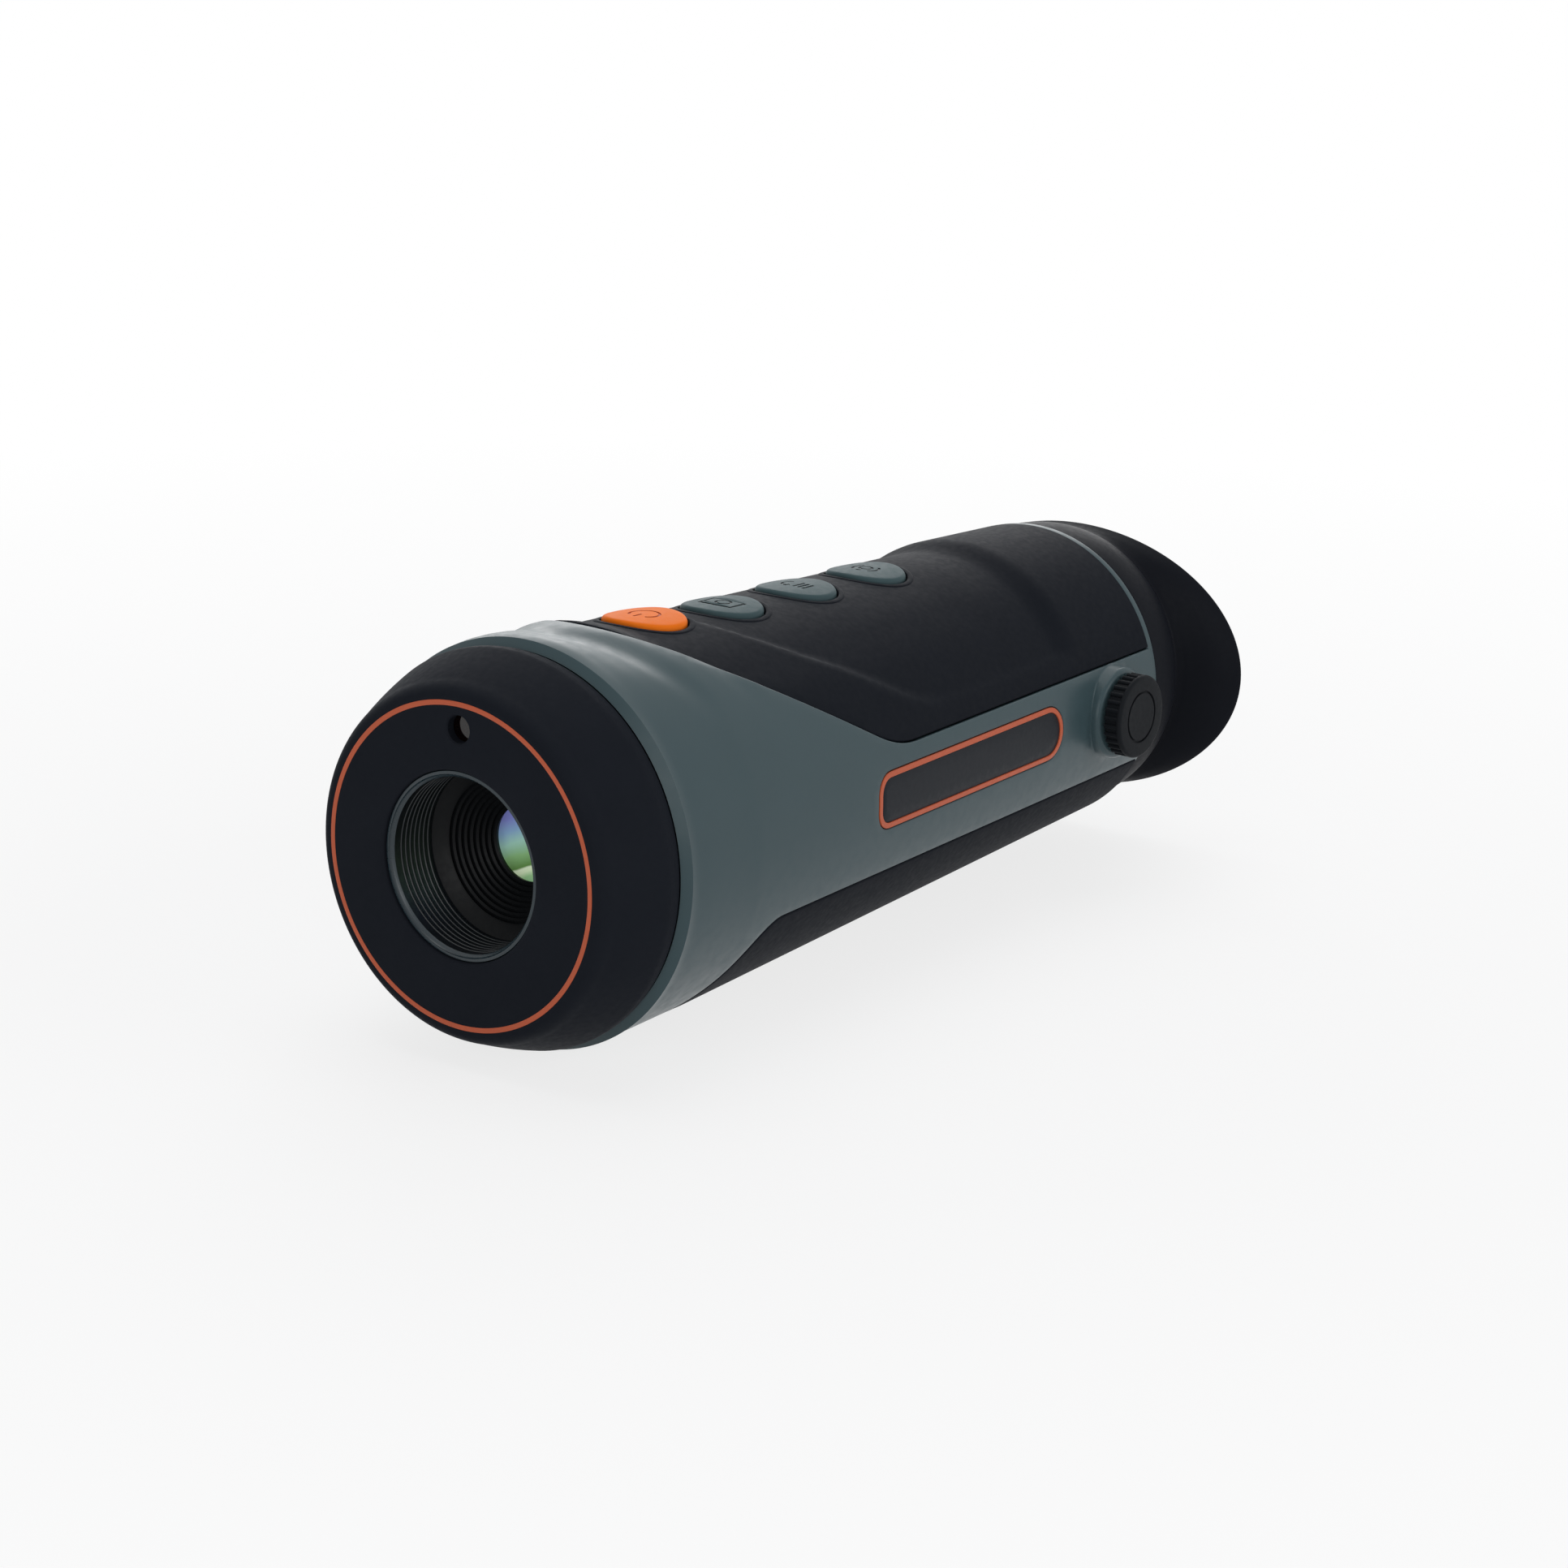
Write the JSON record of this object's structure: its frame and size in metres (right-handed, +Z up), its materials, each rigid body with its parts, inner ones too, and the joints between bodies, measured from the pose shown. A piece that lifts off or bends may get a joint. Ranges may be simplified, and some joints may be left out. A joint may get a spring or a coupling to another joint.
{
  "type": "thermal imaging monocular",
  "caption": "Hand-held thermal imaging monocular: tapered round body with infrared lens, top buttons, side dioptre knob and flared eyecup.",
  "frame": {"origin": "centre of the mouth of the tripod thread on the underside", "axes": "+Y from the infrared lens towards the eyecup, +Z up to the button side, +X to the side with the dioptre knob"},
  "size_m": [0.0628, 0.1644, 0.0603],
  "materials": {
    "bezel_black": "fine matt moulding",
    "housing_grey": "satin teal-grey moulding",
    "cover_rubber": "soft-touch overmould",
    "accent_orange": "burnt orange, satin",
    "button_orange": "bright orange, satin",
    "button_grey": "satin teal-grey, engraved",
    "knob_black": "knurled, satin",
    "eyecup_rubber": "matt moulded rubber",
    "seal_rubber": "smooth rubber",
    "barrel_black": "black anodised",
    "lens_coated": "polished infrared lens, coated",
    "eye_glass": "polished, coated",
    "laser_glass": "polished window",
    "steel": "turned",
    "brass": "turned",
    "board_green": "solder mask",
    "inner_plastic": "moulded",
    "cell_sleeve": "shrink sleeve"
  },
  "bodies": {
    "root": {"front_bezel": "bezel_black", "bezel_ring": "accent_orange", "front_seal": "seal_rubber", "laser_window": "laser_glass", "laser_module": "brass", "lens_barrel": "barrel_black", "baffle_insert": "barrel_black", "objective_lens": "lens_coated", "lens_spacer": "barrel_black", "rear_lens": "lens_coated", "main_housing": "housing_grey", "top_cover": "cover_rubber", "bottom_cover": "cover_rubber", "side_plate_rim": "accent_orange", "side_plate": "bezel_black", "button_board": "board_green", "dome_switches": "steel", "shutter_frame": "inner_plastic", "sensor_module": "inner_plastic", "main_board": "board_green", "processor_shield": "steel", "battery_cell": "cell_sleeve", "battery_holder": "inner_plastic", "data_port": "steel", "tripod_insert": "brass", "eyepiece_tube": "inner_plastic", "trim_ring": "housing_grey", "eyepiece_stop": "inner_plastic", "display_board": "board_green", "display": "inner_plastic", "knob_seal": "seal_rubber"},
    "power_button": {"power_button": "button_orange"},
    "capture_button": {"capture_button": "button_grey"},
    "menu_button": {"menu_button": "button_grey"},
    "zoom_button": {"zoom_button": "button_grey"},
    "shutter_flag": {"shutter_flag": "inner_plastic"},
    "port_cover": {"port_cover": "cover_rubber"},
    "carrier": {"lens_carrier": "barrel_black", "eyepiece_lens": "eye_glass", "field_lens": "eye_glass"},
    "dioptre": {"dioptre_knob": "knob_black", "knob_shaft": "steel"},
    "eyecup": {"eyecup": "eyecup_rubber"}
  },
  "joints": [
    {"name": "power_press", "type": "slide", "parent": "root", "child": "power_button", "axis": [0, 0, -1], "range_m": [0, 0.0006], "stiffness_N_per_m": 2500},
    {"name": "capture_press", "type": "slide", "parent": "root", "child": "capture_button", "axis": [0, 0, -1], "range_m": [0, 0.0006], "stiffness_N_per_m": 2500},
    {"name": "menu_press", "type": "slide", "parent": "root", "child": "menu_button", "axis": [0, 0, -1], "range_m": [0, 0.0006], "stiffness_N_per_m": 2500},
    {"name": "zoom_press", "type": "slide", "parent": "root", "child": "zoom_button", "axis": [0, 0, -1], "range_m": [0, 0.0006], "stiffness_N_per_m": 2500},
    {"name": "shutter_swing", "type": "hinge", "parent": "root", "child": "shutter_flag", "pos_m": [0.012, -0.0253, 0.0197], "axis": [0, 1, 0], "range_deg": [0, 50]},
    {"name": "port_cover_hinge", "type": "hinge", "parent": "root", "child": "port_cover", "pos_m": [-0.0269, 0.04215, 0.0299], "axis": [0, 0, 1], "range_deg": [-100, 0]},
    {"name": "dioptre_turn", "type": "hinge", "parent": "root", "child": "dioptre", "pos_m": [0.0295, 0.0684, 0.0277], "axis": [1, 0, 0], "range_deg": [-35, 35]},
    {"name": "carrier_slide", "type": "slide", "parent": "root", "child": "carrier", "axis": [0, 1, 0], "range_m": [-0.00205, 0.00205]},
    {"name": "eyecup_turn", "type": "hinge", "parent": "root", "child": "eyecup", "pos_m": [0, 0.092, 0.0277], "axis": [0, 1, 0], "continuous": true}
  ],
  "couplings": [
    {"joint": "dioptre_turn", "follows": "carrier_slide", "rad_per_m": -292.4}
  ]
}
